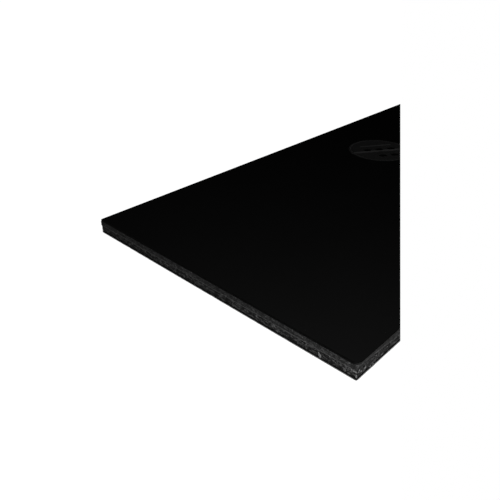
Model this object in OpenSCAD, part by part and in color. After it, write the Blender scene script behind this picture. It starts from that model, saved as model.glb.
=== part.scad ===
// Self-adhesive kick plate for the foot of a door, lying face up.
// The plate is a bonded laminate: a gloss face sheet, two black core boards with a film
// of adhesive between them, and a thin backing sheet. Strips of double-sided tape on the
// back, each under its own release liner, fix it to the door. A round label is on the face.
//
// Frame: +X along the plate, +Y up the door, +Z out of the gloss face. The origin is
// under the centre of the plate, in the plane of the release liners that it rests on.

/* [Plate] */
// Length, across the width of the door
plate_length = 800; // [600:10:1000]
// Height, up the door
plate_height = 200; // [180:5:300]

/* [Layers] */
// Thickness of the gloss face sheet
face_sheet_t = 1.2; // [1:0.1:2]
// Plan radius of the face sheet's two corners on its lower edge
lower_corner_r = 4; // [1:0.5:6]
// Plan radius of the face sheet's two corners on its upper edge
upper_corner_r = 1; // [1:0.5:6]
// Chamfer round the face sheet's upper arris
face_chamfer = 0.3; // [0.1:0.1:0.5]
// Thickness of the smooth-edged core board under the face sheet
upper_core_t = 2.95; // [2:0.05:6]
// Thickness of the adhesive film between the two core boards
bond_line_t = 0.35; // [0.2:0.05:0.5]
// Distance from the boards' edges to the edge of the adhesive film
bond_setback = 0.2; // [0:0.1:1]
// Thickness of the rough-sawn core board at the back
lower_core_t = 4; // [2:0.05:6]
// Thickness of the backing sheet that balances the face sheet
backing_sheet_t = 0.6; // [0.4:0.1:1]

/* [Face label] */
// Diameter of the round label
label_d = 52; // [30:1:70]
// Thickness of the label
label_t = 0.15; // [0.1:0.05:0.3]
// Distance of the label's centre from the left end of the plate
label_from_end = 238; // [60:1:300]
// Distance of the label's centre from the lower edge of the plate
label_from_lower_edge = 138; // [60:1:140]

/* [Mounting tape] */
// Width of every strip of double-sided tape
tape_w = 25; // [15:1:30]
// Thickness of the tape
tape_t = 0.2; // [0.15:0.05:1.1]
// Distance from the plate's edges to the tape
tape_margin = 12; // [10:1:20]
// Clear distance between the long strips and the ends of the short ones
tape_gap = 12; // [10:1:20]
// Thickness of the release liners
liner_t = 0.1; // [0.1:0.05:0.2]
// Length of the lift tab, where each liner runs on past the end of its tape
liner_tab = 8; // [4:1:9]

/* [Hidden] */

// Underside of each layer, from the liners up
tape_z = liner_t;
backing_z = tape_z + tape_t;
lower_core_z = backing_z + backing_sheet_t;
bond_z = lower_core_z + lower_core_t;
upper_core_z = bond_z + bond_line_t;
face_sheet_z = upper_core_z + upper_core_t;
label_z = face_sheet_z + face_sheet_t;

// Length and centre line of the long strips along the upper and lower edges
long_tape_l = plate_length - 2 * tape_margin;
long_tape_y = plate_height / 2 - tape_margin - tape_w / 2;
// Length and centre line of the short strips at the ends
short_tape_l = plate_height - 2 * (tape_margin + tape_w + tape_gap);
end_tape_x = plate_length / 2 - tape_margin - tape_w / 2;

// Place of the label's centre
label_x = label_from_end - plate_length / 2;
label_y = label_from_lower_edge - plate_height / 2;

// Facets round a corner of the face sheet, and round the label
corner_fn = 32;
label_fn = 96;

// A flat sheet centred on the Z axis
module sheet(length, height, thickness) {
    translate([-length / 2, -height / 2, 0])
        cube([length, height, thickness]);
}

// One corner post of the face sheet, chamfered at its top. sx and sy, 1 or -1, pick the corner.
module face_corner(sx, sy) {
    radius = sy > 0 ? upper_corner_r : lower_corner_r;
    translate([sx * (plate_length / 2 - radius), sy * (plate_height / 2 - radius), 0]) {
        cylinder(h = face_sheet_t - face_chamfer, r = radius, $fn = corner_fn);
        translate([0, 0, face_sheet_t - face_chamfer])
            cylinder(h = face_chamfer, r1 = radius, r2 = radius - face_chamfer, $fn = corner_fn);
    }
}

module face_sheet() {
    color([0.012, 0.012, 0.013])
        translate([0, 0, face_sheet_z])
            hull()
                for (sx = [-1, 1], sy = [-1, 1])
                    face_corner(sx, sy);
}

module upper_core() {
    color([0.11, 0.11, 0.115])
        translate([0, 0, upper_core_z])
            sheet(plate_length, plate_height, upper_core_t);
}

module bond_line() {
    color([0.42, 0.42, 0.42])
        translate([0, 0, bond_z])
            sheet(plate_length - 2 * bond_setback, plate_height - 2 * bond_setback, bond_line_t);
}

module lower_core() {
    color([0.09, 0.09, 0.09])
        translate([0, 0, lower_core_z])
            sheet(plate_length, plate_height, lower_core_t);
}

module backing_sheet() {
    color([0.06, 0.06, 0.06])
        translate([0, 0, backing_z])
            sheet(plate_length, plate_height, backing_sheet_t);
}

module face_label() {
    color([0.07, 0.07, 0.075])
        translate([label_x, label_y, label_z])
            cylinder(h = label_t, d = label_d, $fn = label_fn);
}

// A strip of double-sided tape along X, centred on its own middle
module tape(length) {
    color([0.16, 0.16, 0.17])
        translate([0, 0, tape_z])
            sheet(length, tape_w, tape_t);
}

// The liner under a strip of tape, running on past the strip's +X end as a lift tab
module liner(length) {
    color([0.86, 0.83, 0.74])
        translate([liner_tab / 2, 0, 0])
            sheet(length + liner_tab, tape_w, liner_t);
}

// Places a strip along the upper (side 1) or lower (side -1) edge
module along_edge(side) {
    translate([0, side * long_tape_y, 0])
        children();
}

// Places a strip up the plate at x, with its +X end turned down to the lower edge
module up_plate(x) {
    translate([x, 0, 0])
        rotate([0, 0, -90])
            children();
}

module tape_upper() { along_edge(1) tape(long_tape_l); }
module tape_lower() { along_edge(-1) tape(long_tape_l); }
module tape_left() { up_plate(-end_tape_x) tape(short_tape_l); }
module tape_middle() { up_plate(0) tape(short_tape_l); }
module tape_right() { up_plate(end_tape_x) tape(short_tape_l); }

module liner_upper() { along_edge(1) liner(long_tape_l); }
module liner_lower() { along_edge(-1) liner(long_tape_l); }
module liner_left() { up_plate(-end_tape_x) liner(short_tape_l); }
module liner_middle() { up_plate(0) liner(short_tape_l); }
module liner_right() { up_plate(end_tape_x) liner(short_tape_l); }

face_sheet();
upper_core();
bond_line();
lower_core();
backing_sheet();
face_label();
tape_upper();
tape_lower();
tape_left();
tape_middle();
tape_right();
liner_upper();
liner_lower();
liner_left();
liner_middle();
liner_right();
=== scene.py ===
import math
import random

import bmesh
import bpy
import numpy as np
from mathutils import Matrix, Vector, noise


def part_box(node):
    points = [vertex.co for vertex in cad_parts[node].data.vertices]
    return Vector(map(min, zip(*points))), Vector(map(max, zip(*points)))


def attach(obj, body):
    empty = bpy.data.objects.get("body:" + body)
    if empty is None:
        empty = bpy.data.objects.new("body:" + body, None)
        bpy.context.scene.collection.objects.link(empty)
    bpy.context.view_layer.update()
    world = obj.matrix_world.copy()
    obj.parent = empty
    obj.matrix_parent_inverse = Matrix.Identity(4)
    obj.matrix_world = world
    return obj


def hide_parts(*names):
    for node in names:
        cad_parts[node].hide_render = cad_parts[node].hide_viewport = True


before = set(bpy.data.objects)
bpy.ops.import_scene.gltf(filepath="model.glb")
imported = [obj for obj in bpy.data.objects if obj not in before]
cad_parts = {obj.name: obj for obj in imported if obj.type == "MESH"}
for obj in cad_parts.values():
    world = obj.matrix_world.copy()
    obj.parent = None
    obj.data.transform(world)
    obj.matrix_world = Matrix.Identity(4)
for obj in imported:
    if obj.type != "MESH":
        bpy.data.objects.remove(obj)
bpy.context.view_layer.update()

MM = 0.001
BODY = "root"

# The near corner is the plate's low x, low y corner. Its left end faces -X, its lower edge -Y.
CORE_LOW, CORE_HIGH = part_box("lower_core")
FACE_LOW, FACE_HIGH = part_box("face_sheet")
FILM_LOW, FILM_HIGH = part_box("bond_line")
NEAR_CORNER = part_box("backing_sheet")[0]
# The plate's height is its size up the door, along Y
PLATE_HEIGHT = CORE_HIGH.y - CORE_LOW.y
JOINT_Z = (FILM_LOW.z + FILM_HIGH.z) / 2


def add_object(name, data):
    item = bpy.data.objects.new(name, data)
    bpy.context.scene.collection.objects.link(item)
    return item


# ------------------------------------------------------------------ camera

# Place of the camera from the near corner, in plate heights
CAMERA_OFFSET = Vector((-0.8005, -0.4375, 0.8545))
CAMERA_AZIMUTH = math.radians(-46.392)
CAMERA_ELEVATION = math.radians(30.515)
CAMERA_LENS = 38.85
SENSOR_WIDTH = 36
CAMERA_CLIP = 0.5 * MM


def make_camera():
    data = bpy.data.cameras.new("camera")
    data.lens = CAMERA_LENS
    data.sensor_width = SENSOR_WIDTH
    data.clip_start = CAMERA_CLIP
    camera = add_object("camera", data)
    camera.location = NEAR_CORNER + CAMERA_OFFSET * PLATE_HEIGHT
    camera.rotation_euler = (math.pi / 2 - CAMERA_ELEVATION, 0, CAMERA_AZIMUTH)
    bpy.context.scene.camera = camera
    return camera


# ------------------------------------------------------------------ node helpers

def new_material(name):
    """A material with a Principled shader."""
    material = bpy.data.materials.new(name)
    material.use_nodes = True
    return material


class Tree:
    """Short calls for a node tree. An input is a number, a colour, a vector or a socket."""

    def __init__(self, tree):
        self.nodes, self.links = tree.nodes, tree.links

    def fill(self, node, inputs):
        """Links or sets the inputs of a node, by their names or numbers."""
        for key, value in inputs.items():
            socket = node.inputs[key]
            if isinstance(value, bpy.types.NodeSocket):
                self.links.new(value, socket)
            elif socket.type == "RGBA":
                socket.default_value = (*value, 1)
            else:
                socket.default_value = value

    def add(self, kind, inputs=None, **settings):
        node = self.nodes.new("ShaderNode" + kind)
        for name, value in settings.items():
            setattr(node, name, value)
        self.fill(node, inputs or {})
        return node

    def math(self, operation, first, second):
        return self.add("Math", {0: first, 1: second}, operation=operation).outputs[0]

    def span(self, value, low, high, to_low=0.0, to_high=1.0, **settings):
        """value from low to high, mapped to to_low to to_high and held there past them."""
        inputs = {
            "Value": value, "From Min": low, "From Max": high, "To Min": to_low, "To Max": to_high,
        }
        return self.add("MapRange", inputs, **settings).outputs["Result"]


class Surface(Tree):
    """A material of the plate's, patterned in object coordinates. Sizes are in metres."""

    def __init__(self, name):
        self.material = new_material(name)
        super().__init__(self.material.node_tree)
        self.shader = self.nodes["Principled BSDF"]
        self.place = self.add("TexCoord").outputs["Object"]

    def stretched(self, scale, turn=0.0):
        """Object coordinates turned about Z and scaled, so that a texture runs longer one way."""
        inputs = {"Vector": self.place, "Rotation": (0, 0, turn), "Scale": scale}
        return self.add("Mapping", inputs).outputs["Vector"]

    def noise(self, size, detail, place=None, distortion=0.0):
        inputs = {
            "Vector": place or self.place, "Scale": 1 / size, "Detail": detail,
            "Roughness": 0.6, "Distortion": distortion,
        }
        return self.add("TexNoise", inputs).outputs["Fac"]

    def cells(self, size):
        """Distance to the nearest of many scattered points, as a share of size, their spacing."""
        inputs = {"Vector": self.place, "Scale": 1 / size}
        return self.add("TexVoronoi", inputs).outputs["Distance"]

    def attribute(self, name):
        return self.add("Attribute", attribute_name=name).outputs["Fac"]

    def blend(self, factor, first, second):
        """The colour first where factor is 0, and second where it is 1."""
        inputs = {"Factor": factor, "A": first, "B": second}
        return self.add("Mix", inputs, data_type="RGBA").outputs["Result"]

    def scale(self, color, factor):
        inputs = {0: color, "Scale": factor}
        return self.add("VectorMath", inputs, operation="SCALE").outputs["Vector"]

    def bump(self, height, depth):
        """Raises the surface by up to depth where height is 1."""
        return self.add("Bump", {"Height": height, "Distance": depth}).outputs["Normal"]

    def finish(self, color, roughness, normal):
        self.fill(self.shader, {"Base Color": color, "Roughness": roughness, "Normal": normal})
        return self.material


def grey(value):
    return (value, value, value)


# ------------------------------------------------------------------ materials

def gloss_black():
    """Polished black sheet: hairline scratches two ways, faint smears and a little dust."""
    look = Surface("gloss_black")
    hairs = [
        look.noise(0.6 * MM, 2, look.stretched((0.02, 1, 1), turn)) for turn in (0.5, -0.9)
    ]
    scratches = look.span(look.math("MAXIMUM", *hairs), 0.72, 0.8)
    smears = look.span(look.noise(70 * MM, 4, distortion=0.6), 0.45, 0.7)
    dust = look.span(look.cells(9 * MM), 0.012, 0.02, 0.5, 0)
    color = look.blend(smears, grey(0.0016), grey(0.0022))
    color = look.blend(dust, color, grey(0.05))
    rough = look.span(smears, 0, 1, 0.03, 0.06)
    rough = look.math("ADD", rough, look.math("MULTIPLY", scratches, 0.05))
    rough = look.math("ADD", rough, dust)
    return look.finish(color, rough, look.bump(scratches, -0.0005 * MM))


def sheet_edge():
    """Edge of the gloss sheet: satin black, with a painted highlight in lighter grey on its long
    sides.
    """
    look = Surface("sheet_edge")
    look.shader.inputs["Specular IOR Level"].default_value = 0.06
    ripple = look.noise(1.5 * MM, 3, look.stretched((1, 1, 0.2)))
    patch = look.span(look.noise(2 * MM, 4), 0.35, 0.65)
    black = look.blend(patch, grey(0.002), grey(0.006))
    # Painted highlight: lighter grey where the edge would catch the light, put on the long sides.
    painted_highlight = look.blend(patch, grey(0.04), grey(0.085))
    color = look.blend(look.attribute("wear_and_highlight"), black, painted_highlight)
    return look.finish(color, look.span(ripple, 0.3, 0.7, 0.4, 0.55), look.bump(ripple, 0.01 * MM))


# How many times as light as its pale patches a board's filler specks and its chips are
SPECK_GAIN, CHIP_GAIN = 2.2, 3


def core_board(name, dark, light, grain, relief, streaks):
    """Cut edge of a black filled board. It has dark and light patches of about the size of grain,
    pale specks, whitened chips and, on the lower board, a painted highlight line, lines along it,
    and dashes whose contrast is streaks."""
    look = Surface(name)
    look.shader.inputs["Specular IOR Level"].default_value = 0.3
    ground = look.span(look.noise(grain, 6), 0.455, 0.555)
    specks = look.span(look.cells(1.4 * grain), 0.16, 0.3, 1, 0)
    rare = look.span(look.noise(4 * grain, 1), 0.45, 0.6)
    color = look.blend(ground, grey(dark), grey(light))
    color = look.blend(look.math("MULTIPLY", specks, rare), color, grey(SPECK_GAIN * light))
    # The wear attribute also carries the painted highlight line on the lower board.
    color = look.blend(look.attribute("wear_and_highlight"), color, grey(CHIP_GAIN * light))

    lines = look.noise(0.7 * MM, 2, look.stretched((0.05, 0.05, 1)))
    dashes = look.noise(1.4 * grain, 3, look.stretched((0.35, 0.35, 1)))
    shade = look.span(look.noise(26 * MM, 2), 0.35, 0.65, 0.85, 1.1)
    shade = look.math("MULTIPLY", shade, look.span(lines, 0.35, 0.65, 0.8, 1.2))
    dash_shade = look.span(dashes, 0.42, 0.58, 1 - streaks, 1 + streaks)
    color = look.scale(color, look.math("MULTIPLY", shade, dash_shade))

    height = look.math("ADD", look.noise(0.6 * grain, 3), look.math("MULTIPLY", lines, 0.6))
    return look.finish(color, look.span(ground, 0, 1, 0.42, 0.7), look.bump(height, relief))


def dried_glue():
    """Cured clear adhesive: milky, with bubbles."""
    look = Surface("dried_glue")
    milk = look.span(look.noise(1.4 * MM, 3), 0.35, 0.65)
    bubbles = look.span(look.cells(0.5 * MM), 0.1, 0.3)
    color = look.blend(milk, grey(0.09), grey(0.18))
    return look.finish(color, look.span(milk, 0, 1, 0.25, 0.5), look.bump(bubbles, 0.05 * MM))


def pale_fleck():
    """Crumbs of filler and glue, whitened where they broke."""
    look = Surface("pale_fleck")
    broken = look.span(look.noise(0.5 * MM, 3), 0.35, 0.65)
    color = look.blend(broken, grey(0.17), grey(0.5))
    return look.finish(color, look.span(broken, 0, 1, 0.5, 0.8), look.bump(broken, 0.04 * MM))


def sanded_backing():
    """Black balancing sheet, sanded along its length so that tape will grip it."""
    look = Surface("sanded_backing")
    sanding = look.noise(0.35 * MM, 2, look.stretched((0.03, 1, 1)))
    marks = look.span(sanding, 0.4, 0.68)
    color = look.blend(marks, grey(0.004), grey(0.009))
    rough = look.span(look.noise(45 * MM, 3), 0.3, 0.7, 0.5, 0.62)
    rough = look.math("ADD", rough, look.math("MULTIPLY", marks, 0.12))
    return look.finish(color, rough, look.bump(sanding, 0.02 * MM))


def printed_film(name, tone, roughness, metal=0.0):
    """Label film or the ink on it, with a fine calendered grain."""
    look = Surface(name)
    look.shader.inputs["Metallic"].default_value = metal
    grain = look.noise(0.25 * MM, 2)
    cloud = look.span(look.noise(12 * MM, 3), 0.35, 0.65)
    color = look.blend(cloud, grey(0.85 * tone), grey(1.15 * tone))
    rough = look.span(grain, 0.3, 0.7, roughness, roughness + 0.08)
    return look.finish(color, rough, look.bump(grain, 0.004 * MM))


def film_tape():
    """Black double-sided film tape: satin, with trapped bubbles under its skin."""
    look = Surface("film_tape")
    spots = look.span(look.cells(2.5 * MM), 0.1, 0.3, 1, 0)
    bubbles = look.math("MULTIPLY", spots, look.noise(9 * MM, 2))
    color = look.blend(bubbles, grey(0.012), grey(0.03))
    rough = look.span(look.noise(6 * MM, 3), 0.3, 0.7, 0.25, 0.4)
    return look.finish(color, rough, look.bump(bubbles, 0.02 * MM))


def release_paper():
    """Cream silicone-coated paper, with fibres and a faint mottle."""
    look = Surface("release_paper")
    fibres = [
        look.noise(0.3 * MM, 2, look.stretched((0.12, 1, 1), turn)) for turn in (0.2, 1.3, 2.3)
    ]
    fibre = look.math("MAXIMUM", look.math("MAXIMUM", *fibres[:2]), fibres[2])
    fibre = look.span(fibre, 0.55, 0.75)
    mottle = look.span(look.noise(3 * MM, 4), 0.3, 0.7)
    paper = look.blend(mottle, (0.76, 0.72, 0.6), (0.84, 0.81, 0.7))
    color = look.blend(look.math("MULTIPLY", fibre, 0.4), paper, (0.62, 0.57, 0.45))
    return look.finish(color, look.span(mottle, 0, 1, 0.34, 0.5), look.bump(fibre, 0.01 * MM))


# ------------------------------------------------------------------ mesh helpers

def mesh_from(name, bm, material):
    """Turns a bmesh into a mesh with one material."""
    mesh = bpy.data.meshes.new(name)
    bm.to_mesh(mesh)
    bm.free()
    mesh.materials.append(material)
    return mesh


def add_piece(name, bm, material, replaced=()):
    """Turns a bmesh into a piece of the plate."""
    bmesh.ops.recalc_face_normals(bm, faces=bm.faces)
    piece = add_object(name, mesh_from(name, bm, material))
    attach(piece, BODY)
    if replaced:
        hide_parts(*replaced)
    return piece


# Moves the noise to a fresh place for each seed
SEED_SHIFT = Vector((7.31, 3.17, 5.71))


def noise_at(points, size, seed, stretch=(1, 1, 1)):
    """Smooth noise from about -1 to 1 at each point, with features about size across."""
    shift = SEED_SHIFT * seed
    scaled = points / (np.array(stretch) * size)
    return np.array([noise.noise(Vector(p) + shift) for p in scaled])


def above(values, threshold, width):
    """0 below the threshold, rising to 1 over width."""
    return np.clip((values - threshold) / width, 0, 1)


def corners_of(low, high):
    """The corners of a rectangle, from its low corner along X first."""
    return np.array([(low.x, low.y), (high.x, low.y), (high.x, high.y), (low.x, high.y)])


def rectangle_loop(low, high, step):
    """Points about step apart round a rectangle, from its low corner, and the way out at each."""
    corners = corners_of(low, high)
    normals = [(0, -1), (1, 0), (0, 1), (-1, 0)]
    points, outward = [], []
    for side in range(4):
        start, end = corners[side], corners[(side + 1) % 4]
        count = max(1, round(float(np.linalg.norm(end - start)) / step))
        for k in range(count):
            points.append(start + (end - start) * k / count)
            outward.append(np.add(normals[side], normals[side - 1] if k == 0 else (0, 0)))
    return np.array(points), np.array(outward, float)


def rounded_loop(low, high, radii, arc_steps, inset):
    """Points round a rectangle with round corners, set in from its outline by inset. The radii
    are in the order of corners_of."""
    inward = [(1, 1), (-1, 1), (-1, -1), (1, -1)]
    points = []
    for quarter, (corner, radius) in enumerate(zip(corners_of(low, high), radii)):
        x, y = corner + np.multiply(inward[quarter], radius)
        reach = radius - inset
        for k in range(arc_steps + 1):
            angle = math.pi + (quarter + k / arc_steps) * math.pi / 2
            points.append((x + reach * math.cos(angle), y + reach * math.sin(angle)))
    return np.array(points)


def at_height(flat, z):
    return np.column_stack([flat, np.full(len(flat), z)])


def join_loops(bm, first, second):
    """Adds a band of faces between two closed loops with the same number of points."""
    count = len(first)
    for k in range(count):
        after = (k + 1) % count
        bm.faces.new((first[k], first[after], second[after], second[k]))


def add_slab(bm, rings):
    """Adds a closed solid through rings of points, each with the same number of points."""
    rows = [[bm.verts.new(p) for p in ring] for ring in rings]
    for before, after in zip(rows, rows[1:]):
        join_loops(bm, before, after)
    bm.faces.new(rows[0][::-1])
    bm.faces.new(rows[-1])


def slab(rings):
    bm = bmesh.new()
    add_slab(bm, rings)
    return bm


def worked_edge(low, high, step, rows, eased, cut):
    """Rings up the edge of a slab. eased is how far its lower and upper arris are rubbed back.
    cut(points) gives how far in the tool left each point, and its wear and painted highlight from 0
    to 1."""
    flat, outward = rectangle_loop(low, high, step)
    rings, wear_and_highlight_values = [], []
    for row in range(rows + 1):
        points = at_height(flat, low.z + (high.z - low.z) * (row / rows))
        inset, wear_and_highlight = cut(points)
        if row in (0, rows):
            inset = inset + eased[row // rows]
        points[:, :2] -= outward * inset[:, None]
        rings.append(points)
        wear_and_highlight_values.append(np.full(len(points), wear_and_highlight))
    return rings, np.concatenate(wear_and_highlight_values)


def set_wear_and_highlight(piece, wear_and_highlight_values):
    """Stores each point's wear and painted highlight, for the material to read."""
    layer = piece.data.attributes.new("wear_and_highlight", "FLOAT", "POINT")
    layer.data.foreach_set("value", wear_and_highlight_values.astype(np.float32))


# ------------------------------------------------------------------ edges of the boards

# Spacing of the points along the boards' edges
EDGE_STEP = 0.5 * MM
# Points this near to the plane of the lower edge are on it
ON_EDGE = 0.01 * MM
# The torn part of the lower edge reaches up into the upper board near the corner. Its top runs
# down from the face sheet, at the first distance from the corner, to the joint at the second.
TEAR_START, TEAR_END = 4 * MM, 34 * MM
# Pitch of the saw's tooth marks, and how far they lean along the edge for each unit of height
TOOTH_PITCH, TOOTH_LEAN = 2.3 * MM, 0.4
# Height of the painted highlight line near the bottom of the lower edge, just above its lower arris
PAINTED_HIGHLIGHT_Z = CORE_LOW.z + 0.9 * MM
# The upper board has nicks up to this height
NICKED_Z = JOINT_Z + 1.2 * MM


def tear_height(along):
    """Height of the top of the torn part, at a distance along the lower edge from the corner."""
    share = (along - TEAR_START) / (TEAR_END - TEAR_START)
    return FACE_LOW.z + (JOINT_Z - FACE_LOW.z) * share


def on_lower_edge(points):
    return points[:, 1] < CORE_LOW.y + ON_EDGE


def is_torn(points):
    return on_lower_edge(points) & (points[:, 2] < tear_height(points[:, 0] - CORE_LOW.x))


def pale_band(points, height, reach):
    """1 on the lower edge at a height, fading to 0 over about reach above and below it."""
    return on_lower_edge(points) * np.exp(-((points[:, 2] - height) / reach) ** 2)


def sawn(points):
    """Coarse saw cut: fuzz, slanting tooth marks, torn patches and chips, and on the lower edge a
    painted highlight line near the bottom.
    """
    along = points[:, 0] + points[:, 1]
    teeth = np.sin(2 * math.pi * (along + TOOTH_LEAN * points[:, 2]) / TOOTH_PITCH)
    fuzz = noise_at(points, 1.1 * MM, seed=1)
    torn = above(noise_at(points, 3.5 * MM, seed=2, stretch=(1, 1, 0.5)), 0.1, 0.5)
    chips = above(noise_at(points, 1.8 * MM, seed=3), 0.36, 0.16)
    inset_mm = 0.17 + 0.16 * fuzz + 0.03 * teeth + 0.1 * torn + 0.25 * chips
    wear_and_highlight = 0.25 * chips + 0.15 * above(-fuzz, 0.2, 0.3)
    # Painted highlight: a lighter line along the lower edge near its bottom arris.
    wear_and_highlight = wear_and_highlight + 0.1 * pale_band(points, PAINTED_HIGHLIGHT_Z, 0.5 * MM)
    return np.maximum(inset_mm, 0) * MM, wear_and_highlight


def planed(points):
    """Smooth cut with rare nicks near the joint. It is torn like the sawn board near the corner."""
    near_joint = above(-points[:, 2], -NICKED_Z, 0.8 * MM)
    nicks = above(noise_at(points, 1.5 * MM, seed=4), 0.4, 0.15) * near_joint
    inset_mm = 0.02 + 0.015 * noise_at(points, 5 * MM, seed=5) + 0.2 * nicks
    rim = pale_band(points, tear_height(points[:, 0] - CORE_LOW.x), 0.6 * MM)
    torn = is_torn(points)
    torn_inset, torn_wear = sawn(points)
    inset = np.where(torn, torn_inset, inset_mm * MM)
    return inset, np.where(torn, torn_wear, 0.4 * nicks) + 0.25 * rim


def make_board(name, node, slot, rows, eased, cut, **look):
    """A board with a cut edge. Its material has the name of its slot."""
    rings, wear_and_highlight_values = worked_edge(*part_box(node), EDGE_STEP, rows, eased, cut)
    board = add_piece(name, slab(rings), core_board(slot, **look), [node])
    set_wear_and_highlight(board, wear_and_highlight_values)


def make_boards():
    make_board(
        "upper_board", "upper_core", "smooth_core",
        rows=7, eased=(0.05 * MM, 0.05 * MM), cut=planed,
        dark=0.016, light=0.078, grain=0.8 * MM, relief=0.03 * MM, streaks=0.5,
    )
    make_board(
        "lower_board", "lower_core", "sawn_core",
        rows=8, eased=(0.3 * MM, 0.1 * MM), cut=sawn,
        dark=0.002, light=0.09, grain=1 * MM, relief=0.16 * MM, streaks=0.8,
    )


def nicked(points):
    """Cut with small nicks."""
    nicks = above(noise_at(points, 2.5 * MM, seed=6), 0.42, 0.15)
    return (0.03 + 0.25 * nicks) * MM, 0


def make_backing():
    low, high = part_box("backing_sheet")
    rings, _ = worked_edge(
        low, high, 2 * EDGE_STEP, rows=2, eased=(0.05 * MM, 0.05 * MM), cut=nicked,
    )
    add_piece("backing", slab(rings), sanded_backing(), ["backing_sheet"])


# ------------------------------------------------------------------ face sheet

# Plan radii of the corners on the lower and on the upper edge
LOWER_CORNER, UPPER_CORNER = 4 * MM, 1 * MM
FACE_ARRIS = 0.3 * MM
FACE_BURR = 0.05 * MM
FACE_CORNER_STEPS, FACE_ARRIS_STEPS = 14, 5
# Faces whose normal's Z is at least this, up or down, are flat. The others are on the edge.
FLAT_NORMAL_Z = 0.999


def face_profile(side_top):
    """Edge of the gloss sheet as (inset, height), with rows near its bends so the side is flat."""
    profile = [(FACE_BURR, 0), (0, FACE_BURR), (0, 2 * FACE_BURR), (0, side_top - FACE_BURR)]
    for k in range(FACE_ARRIS_STEPS + 1):
        angle = k / FACE_ARRIS_STEPS * math.pi / 2
        inset = FACE_ARRIS * (1 - math.cos(angle))
        profile.append((inset, side_top + FACE_ARRIS * math.sin(angle)))
    return profile


def make_face():
    """The gloss sheet: round plan corners, and an arris polished to a small round. Its long edges
    carry a painted highlight in lighter grey, which fades near the ends, and the arris stays black."""
    side_top = FACE_HIGH.z - FACE_LOW.z - FACE_ARRIS
    radii = (LOWER_CORNER, LOWER_CORNER, UPPER_CORNER, UPPER_CORNER)
    rings, wear_and_highlight_values = [], []
    for inset, height in face_profile(side_top):
        loop = rounded_loop(FACE_LOW, FACE_HIGH, radii, FACE_CORNER_STEPS, inset)
        from_end = np.minimum(loop[:, 0] - FACE_LOW.x, FACE_HIGH.x - loop[:, 0])
        rings.append(at_height(loop, FACE_LOW.z + height))
        # Painted highlight: the long sides below the arris get the lighter edge colour, fading near
        # the ends.
        wear_and_highlight_values.append(above(from_end, 0, LOWER_CORNER) * (height <= side_top))
    piece = add_piece("gloss_face", slab(rings), gloss_black(), ["face_sheet"])
    piece.data.materials.append(sheet_edge())
    set_wear_and_highlight(piece, np.concatenate(wear_and_highlight_values))
    for face in piece.data.polygons:
        face.use_smooth = abs(face.normal.z) < FLAT_NORMAL_Z
        face.material_index = int(face.use_smooth)


# ------------------------------------------------------------------ glue

# Crumbs near the corner, in millimetres: which edge, distance from the corner, height above the
# back of the plate, then length, height and turn in degrees
CORNER_FLECKS = [
    ("end", 1.2, 4.2, 2.5, 0.7, 5),
    ("end", 0.4, 2.1, 0.8, 1.8, 0),
    ("end", 3.1, 4.4, 0.9, 0.5, -20),
    ("end", 20.4, 2.0, 3.2, 1.3, 118),
    ("side", 1.3, 4.6, 0.8, 2.2, -10),
    ("side", 3.0, 3.3, 0.8, 1.1, 20),
    ("side", 6.3, 3.4, 1.6, 0.9, 10),
    ("side", 10.6, 1.4, 1.3, 0.7, 0),
    ("side", 13.2, 1.1, 1.2, 0.5, 0),
    ("side", 20.6, 2.1, 1.8, 0.5, -8),
]
CORNER_FLECK_DEPTH = 0.3 * MM
# Crumbs scattered along the joint: how many, the spacing of the places where one may be, how far
# they spread from the joint, and the least and most of their length, height and depth in
# millimetres
STRAY_FLECKS = 46
STRAY_STEP = 5 * MM
STRAY_SPREAD = 0.5 * MM
STRAY_SIZES = ((0.3, 1.1), (0.25, 0.6), (0.12, 0.25))
# Seed of the draws for the scattered crumbs, and of the first one's lumps
STRAY_SEED, STRAY_LUMPS = 5, 20
# How much lumps add to or take from a crumb's radius, and how fast they change across it
LUMP_HEIGHT, LUMP_RATE = 0.7, 4


def squeezed(points):
    """Uneven edge of the adhesive film. It lies deeper in the torn part."""
    bead = noise_at(points, 3 * MM, seed=8, stretch=(1, 1, 0.2))
    fine = noise_at(points, 0.9 * MM, seed=9, stretch=(1, 1, 0.3))
    return (0.02 - 0.05 * bead - 0.04 * fine + 0.4 * is_torn(points)) * MM, 0


def make_glue_film():
    """The adhesive film, squeezed out to about the edges of the boards."""
    low, high = Vector(FILM_LOW), Vector(FILM_HIGH)
    low.xy, high.xy = CORE_LOW.xy, CORE_HIGH.xy
    rings, _ = worked_edge(
        low, high, EDGE_STEP, rows=3, eased=(0.08 * MM, 0.08 * MM), cut=squeezed,
    )
    add_piece("glue_film", slab(rings), dried_glue(), ["bond_line"])


def add_fleck(bm, place, outward, size, turn, seed):
    """Adds one crumb: a jagged flattened ball half sunk in the edge."""
    ball = bmesh.ops.create_icosphere(bm, subdivisions=2, radius=0.5)
    across = Vector((0, 0, 1)).cross(outward)
    basis = Matrix((across, Vector((0, 0, 1)), outward)).transposed()
    spin = Matrix.Rotation(turn, 3, "Z")
    for vert in ball["verts"]:
        lump = 1 + LUMP_HEIGHT * noise.noise(vert.co * LUMP_RATE + Vector((seed, 0, 0)))
        vert.co = place + basis @ (spin @ Vector(a * b * lump for a, b in zip(vert.co, size)))


def add_corner_flecks(bm):
    for number, (edge, along, up, length, height, turn) in enumerate(CORNER_FLECKS):
        z = NEAR_CORNER.z + up * MM
        if edge == "end":
            place, outward = Vector((CORE_LOW.x, CORE_LOW.y + along * MM, z)), Vector((-1, 0, 0))
        else:
            place, outward = Vector((CORE_LOW.x + along * MM, CORE_LOW.y, z)), Vector((0, -1, 0))
        size = (length * MM, height * MM, CORNER_FLECK_DEPTH)
        add_fleck(bm, place, outward, size, math.radians(turn), number)


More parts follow.
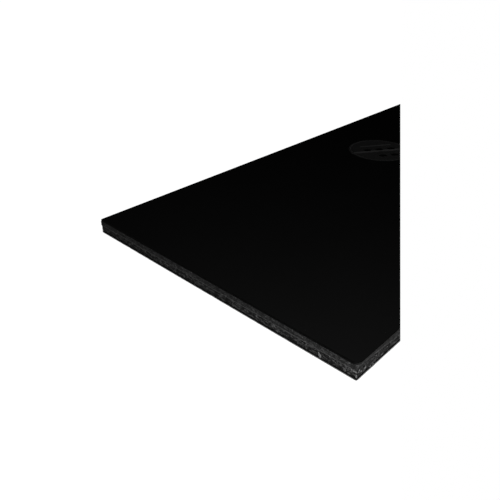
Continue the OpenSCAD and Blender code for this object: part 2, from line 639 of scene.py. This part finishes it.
def add_stray_flecks(bm):
    chance = random.Random(STRAY_SEED)
    flat, ways = rectangle_loop(CORE_LOW, CORE_HIGH, STRAY_STEP)
    for number in range(STRAY_FLECKS):
        k = chance.randrange(1, len(flat))
        place = Vector((*flat[k], JOINT_Z + chance.gauss(0, 1) * STRAY_SPREAD))
        outward = Vector((*ways[k], 0)).normalized()
        size = [chance.uniform(*limits) * MM for limits in STRAY_SIZES]
        add_fleck(bm, place, outward, size, 0, STRAY_LUMPS + number)


def make_flecks():
    """Crumbs that broke from the adhesive film and the boards."""
    bm = bmesh.new()
    add_corner_flecks(bm)
    add_stray_flecks(bm)
    add_piece("glue_flecks", bm, pale_fleck())


# ------------------------------------------------------------------ burr

BURR_SECTIONS = 36
# How far the burr runs on past the end of the torn part
BURR_RUN_OUT = 5 * MM
# How far the burr stands out of the lower edge, reaches in behind it, and lies under the tear's top
BURR_OUT, BURR_IN, BURR_DROP = 0.07 * MM, 0.15 * MM, 0.1 * MM
BURR_WEAR = 0.3


def burr_half_width(along, share):
    """Half the burr's width, which varies along it and tapers to both ends."""
    varied = 0.16 + 0.05 * noise.noise(Vector((along / MM, 0, 3)))
    return varied * MM * math.sin(math.pi * min(share + 0.05, 0.97))


def make_burr():
    """A raised, whitened line along the top of the torn part of the lower edge."""
    out, back = CORE_LOW.y - BURR_OUT, CORE_LOW.y + BURR_IN
    rings = []
    for section in range(BURR_SECTIONS + 1):
        share = section / BURR_SECTIONS
        along = TEAR_START + share * (TEAR_END + BURR_RUN_OUT - TEAR_START)
        half = burr_half_width(along, share)
        x, z = CORE_LOW.x + along, tear_height(along) - BURR_DROP
        rings.append([(x, back, z - half), (x, out, z), (x, back, z + half)])
    material = core_board(
        "burr", dark=0.05, light=0.09, grain=0.3 * MM, relief=0.02 * MM, streaks=0.5,
    )
    piece = add_piece("torn_burr", slab(rings), material)
    set_wear_and_highlight(piece, np.full(len(piece.data.vertices), BURR_WEAR))


# ------------------------------------------------------------------ label

LABEL_SEGMENTS = 96
BAR_END_STEPS = 8
# Thickness of the ink, and how far the film's upper arris is rubbed back
LABEL_INK = 0.02 * MM
LABEL_ARRIS = 0.03 * MM
LABEL_TURN = math.radians(-33.8)
# Inner and outer radius of the printed rim, as shares of the label's radius
RIM = (0.935, 0.95)
# Light bars: width, then length, place across the print and place along it as such shares
LIGHT_BARS = [(3.6 * MM, 1.85, -0.07, 0), (2 * MM, 1.1, 0.42, 0.05)]
# Dark blocks: places across and along the print, then the length and width of each, as such shares
DARK_BLOCKS = [(-0.5, -0.1), (-0.5, 0.32), (0.06, -0.4), (0.06, 0.02), (0.06, 0.44)]
BLOCK_LENGTH, BLOCK_WIDTH = 0.26, 0.17


def disc_loop(centre, radius, z):
    angles = np.arange(LABEL_SEGMENTS) * 2 * math.pi / LABEL_SEGMENTS
    flat = [centre.x + radius * np.cos(angles), centre.y + radius * np.sin(angles)]
    return at_height(np.column_stack(flat), z)


def ink_bar(bm, centre, length, width, offset, shift, low, high):
    """Adds a plain printed bar with round ends. shift is along the print, and offset across it."""
    reach, end_radius = length / 2 - width / 2, width / 2
    c, s = math.cos(LABEL_TURN), math.sin(LABEL_TURN)
    outline = []
    for end in (1, -1):
        for k in range(BAR_END_STEPS + 1):
            angle = -math.pi / 2 + k * math.pi / BAR_END_STEPS
            u = end * (reach + end_radius * math.cos(angle)) + shift
            v = end * end_radius * math.sin(angle) + offset
            outline.append((centre.x + c * u - s * v, centre.y + s * u + c * v))
    add_slab(bm, [[(x, y, z) for x, y in outline] for z in (low, high)])


def ink_ring(bm, centre, inner, outer, low, high):
    """Adds a printed ring."""
    bends = ((inner, low), (outer, low), (outer, high), (inner, high))
    loops = [[bm.verts.new(p) for p in disc_loop(centre, radius, z)] for radius, z in bends]
    for first, second in zip(loops, loops[1:] + loops[:1]):
        join_loops(bm, first, second)


def make_label_film(centre, radius, low, high):
    arris_radius, arris_z = radius - LABEL_ARRIS, high - LABEL_ARRIS
    rings = [(radius, low), (radius, arris_z), (arris_radius, high)]
    bm = slab([disc_loop(centre, ring_radius, z) for ring_radius, z in rings])
    material = printed_film("label_film", tone=0.015, roughness=0.29)
    add_piece("label_film", bm, material, ["face_label"])


def make_light_ink(centre, radius, low, high):
    """The rim and the bars across the label."""
    bm = bmesh.new()
    inner, outer = RIM
    ink_ring(bm, centre, inner * radius, outer * radius, low, high)
    for width, length, offset, shift in LIGHT_BARS:
        ink_bar(bm, centre, length * radius, width, offset * radius, shift * radius, low, high)
    material = printed_film("light_ink", tone=0.38, roughness=0.3, metal=1.0)
    add_piece("label_light_ink", bm, material)


def make_dark_ink(centre, radius, low, high):
    """The blocks."""
    bm = bmesh.new()
    length, width = BLOCK_LENGTH * radius, BLOCK_WIDTH * radius
    for offset, shift in DARK_BLOCKS:
        ink_bar(bm, centre, length, width, offset * radius, shift * radius, low, high)
    material = printed_film("dark_ink", tone=0.002, roughness=0.04)
    add_piece("label_dark_ink", bm, material)


def make_label():
    """Round film label with a plain printed rim, bars across it and plain blocks."""
    low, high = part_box("face_label")
    centre, radius = (low + high) / 2, (high.x - low.x) / 2
    film_top = high.z - LABEL_INK
    make_label_film(centre, radius, low.z, film_top)
    make_light_ink(centre, radius, film_top, high.z)
    make_dark_ink(centre, radius, film_top, high.z)


# ------------------------------------------------------------------ tape and liners

TAPE_STEP = 2 * MM
LINER_CORNER = 4 * MM
TAB_CURL = 0.12 * MM
# Spacing of the rows of points under the tape, the number of rows on the tab, and points in a row
LINER_STEP, TAB_ROWS, LINER_ACROSS = 6 * MM, 12, 9


def nodes_named(start):
    return [node for node in sorted(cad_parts) if node.startswith(start)]


def slit(points):
    """Slightly ragged side of a slit tape."""
    return (0.06 + 0.05 * noise_at(points, 2 * MM, seed=12)) * MM, 0


def make_tapes():
    """Strips of double-sided tape."""
    material = film_tape()
    for node in nodes_named("tape_"):
        rings, _ = worked_edge(
            *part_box(node), TAPE_STEP, rows=2, eased=(0.02 * MM, 0.02 * MM), cut=slit,
        )
        add_piece("film_" + node, slab(rings), material, [node])


def liner_plan(node, tape_node):
    """Where a liner starts, the way it runs, its length, its width, and its length under tape."""
    low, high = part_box(node)
    tape_low, tape_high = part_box(tape_node)
    centre, size_x, size_y = (low + high) / 2, high.x - low.x, high.y - low.y
    if size_x > size_y:
        return Vector((low.x, centre.y)), Vector((1, 0)), size_x, size_y, tape_high.x - low.x
    return Vector((centre.x, high.y)), Vector((0, -1)), size_y, size_x, high.y - tape_low.y


def liner_rows(bm, plan, z):
    """Adds the points of one side of a liner, row by row. Its tab has round corners and curls up."""
    start, ahead, length, width, taped = plan
    aside = Vector((-ahead.y, ahead.x))
    rows = []
    for along in [*np.arange(0, taped, LINER_STEP), *np.linspace(taped, length, TAB_ROWS)]:
        past = max(0, along - (length - LINER_CORNER))
        half = width / 2 - LINER_CORNER + math.sqrt(max(LINER_CORNER**2 - past**2, 0))
        curl = TAB_CURL * (max(0, along - taped) / (length - taped)) ** 2
        middle = start + ahead * along
        row = [middle + aside * offset for offset in np.linspace(-half, half, LINER_ACROSS)]
        rows.append([bm.verts.new((*p, z + curl)) for p in row])
    return rows


def close_sheets(bm, lower, upper):
    """Adds the faces of two grids of points, one over the other, and those round their border."""
    last_row, last_column = len(lower) - 1, len(lower[0]) - 1
    for grid in (lower, upper):
        for i in range(last_row):
            for k in range(last_column):
                bm.faces.new((grid[i][k], grid[i][k + 1], grid[i + 1][k + 1], grid[i + 1][k]))
    border = [(i, 0) for i in range(last_row)]
    border += [(last_row, k) for k in range(last_column)]
    border += [(i, last_column) for i in range(last_row, 0, -1)]
    border += [(0, k) for k in range(last_column, 0, -1)]
    join_loops(bm, [lower[i][k] for i, k in border], [upper[i][k] for i, k in border])


def make_liners():
    """Paper liners, each flat under its strip of tape, with a tab that runs on past it."""
    material = release_paper()
    for node in nodes_named("liner_"):
        low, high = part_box(node)
        plan = liner_plan(node, node.replace("liner_", "tape_"))
        bm = bmesh.new()
        lower = liner_rows(bm, plan, low.z)
        upper = liner_rows(bm, plan, high.z)
        close_sheets(bm, lower, upper)
        add_piece("paper_" + node, bm, material, [node])


# ------------------------------------------------------------------ studio

FLOOR_SIZE = 40
FLOOR_TONE = 0.4
# How far the painted contact shadow darkens the floor beside the plate, and how open a spot is at
# black and at white
CONTACT_REACH = 1.5 * MM
CONTACT_SHADE = (0.6, 0.68)
# The floor as the camera sees it, and the light that it gives the plate
FLOOR_SEEN, FLOOR_LIGHT = 1.0, 0.02
# Studio ceiling: its radiance were it to brighten all the way to overhead, how fast it darkens
# towards the walls, and the sine of the elevation from which it stays as bright
CEILING, CEILING_FALL, CEILING_TOP = 0.5, 4.5, 0.7
# Pale walls, mostly outside what the gloss sheet mirrors in the main view: compass heading,
# elevation and radiance of the middle of each, and the cosines of the angles from it at which a
# wall is dark and at its brightest
WALL_LIGHTS = [(0, 0, 0.5), (95, 0, 0.5), (135, 0, 0.5), (270, 0, 0.05), (315, 12, 0.2)]
WALL_SPREAD = (0.85, 1.0)
# The key light: heading and elevation in degrees, distance and size in metres, power in watts
KEY_HEADING, KEY_ELEVATION = 236, 52
KEY_DISTANCE, KEY_SIZE = 0.17, 0.09
KEY_POWER = 0.19


def floor_material():
    """Matt, and lit up by its own glow so that it looks white, with a painted contact shadow: a fine
    dark line where the plate meets it.
    """
    material = new_material("floor")
    tree = Tree(material.node_tree)
    # Painted contact shadow: ambient occlusion darkens the floor's glow where the plate meets it.
    openness = tree.add("AmbientOcclusion", {"Distance": CONTACT_REACH}).outputs["AO"]
    seen = tree.span(openness, *CONTACT_SHADE, 0, FLOOR_SEEN)
    is_camera = tree.add("LightPath").outputs["Is Camera Ray"]
    glow = tree.add("Mix", {"Factor": is_camera, "A": FLOOR_LIGHT, "B": seen}).outputs["Result"]
    tree.fill(tree.nodes["Principled BSDF"], {
        "Base Color": grey(FLOOR_TONE), "Roughness": 1,
        "Emission Color": grey(1), "Emission Strength": glow,
    })
    return material


def make_floor():
    bm = bmesh.new()
    bmesh.ops.create_grid(bm, x_segments=1, y_segments=1, size=FLOOR_SIZE / 2)
    floor = add_object("floor", mesh_from("floor", bm, floor_material()))


def towards(heading, elevation):
    """The way to a heading, from +Y towards +X, and an elevation, both in degrees."""
    h, e = math.radians(heading), math.radians(elevation)
    return Vector((math.sin(h) * math.cos(e), math.cos(h) * math.cos(e), math.sin(e)))


def make_key_light():
    """A square area light aimed at the near corner. Nothing mirrors it."""
    data = bpy.data.lights.new("key", "AREA")
    data.shape = "SQUARE"
    data.size = KEY_SIZE
    data.energy = KEY_POWER
    light = add_object("key", data)
    away = towards(KEY_HEADING, KEY_ELEVATION)
    light.location = NEAR_CORNER + away * KEY_DISTANCE
    light.rotation_mode = "QUATERNION"
    light.rotation_quaternion = away.to_track_quat("Z", "Y")
    light.visible_camera = False
    light.visible_glossy = False


def studio_light(tree):
    """Radiance of a dark studio with a dim ceiling and pale walls, each way from the plate."""
    way = tree.add("TexCoord").outputs["Generated"]
    up = tree.add("SeparateXYZ", {0: way}).outputs["Z"]
    up = tree.math("MINIMUM", tree.math("MAXIMUM", up, 0), CEILING_TOP)
    light = tree.math("MULTIPLY", tree.math("POWER", up, CEILING_FALL), CEILING)
    for heading, elevation, radiance in WALL_LIGHTS:
        middle = towards(heading, elevation)
        facing = tree.add("VectorMath", {0: way, 1: middle}, operation="DOT_PRODUCT")
        wall = tree.span(
            facing.outputs["Value"], *WALL_SPREAD, 0, radiance, interpolation_type="SMOOTHSTEP",
        )
        light = tree.math("ADD", light, wall)
    return light


def make_world():
    """White to the camera, and the studio to the plate."""
    world = bpy.data.worlds.new("studio")
    bpy.context.scene.world = world
    world.use_nodes = True
    tree = Tree(world.node_tree)
    tree.nodes.clear()
    cast = tree.add("Background", {"Color": grey(1), "Strength": studio_light(tree)}).outputs[0]
    seen = tree.add("Background", {"Color": grey(1), "Strength": 1}).outputs[0]
    is_camera = tree.add("LightPath").outputs["Is Camera Ray"]
    mix = tree.add("MixShader", {"Fac": is_camera, 1: cast, 2: seen})
    tree.add("OutputWorld", {"Surface": mix.outputs[0]})


# The picture ends at this share of the frame's width. A card before the lens hides the rest.
PICTURE_END = 0.8007
CARD_DISTANCE = 2.5 * MM
# How far the card reaches from the middle of the frame, as a share of the frame's width
CARD_REACH = 0.6


def white_glow():
    material = new_material("edge_card")
    tree = Tree(material.node_tree)
    tree.nodes.remove(tree.nodes["Principled BSDF"])
    glow = tree.add("Emission", {"Strength": 1}).outputs[0]
    tree.fill(tree.nodes["Material Output"], {"Surface": glow})
    return material


def make_card(camera):
    """The white card. Only the camera sees it."""
    frame_width = CARD_DISTANCE * SENSOR_WIDTH / CAMERA_LENS
    left, reach = (PICTURE_END - 0.5) * frame_width, CARD_REACH * frame_width
    corners = [(left, -reach), (reach, -reach), (reach, reach), (left, reach)]
    mesh = bpy.data.meshes.new("edge_card")
    mesh.from_pydata([(x, y, -CARD_DISTANCE) for x, y in corners], [], [(0, 1, 2, 3)])
    mesh.materials.append(white_glow())
    card = add_object("edge_card", mesh)
    bpy.context.view_layer.update()
    card.matrix_world = camera.matrix_world.copy()
    for kind in ("diffuse", "glossy", "transmission", "volume_scatter", "shadow"):
        setattr(card, "visible_" + kind, False)


# ------------------------------------------------------------------ the scene

camera = make_camera()
make_face()
make_boards()
make_backing()
make_glue_film()
make_flecks()
make_burr()
make_label()
make_tapes()
make_liners()
make_floor()
make_world()
make_key_light()
make_card(camera)
bpy.context.scene.view_settings.view_transform = "Standard"
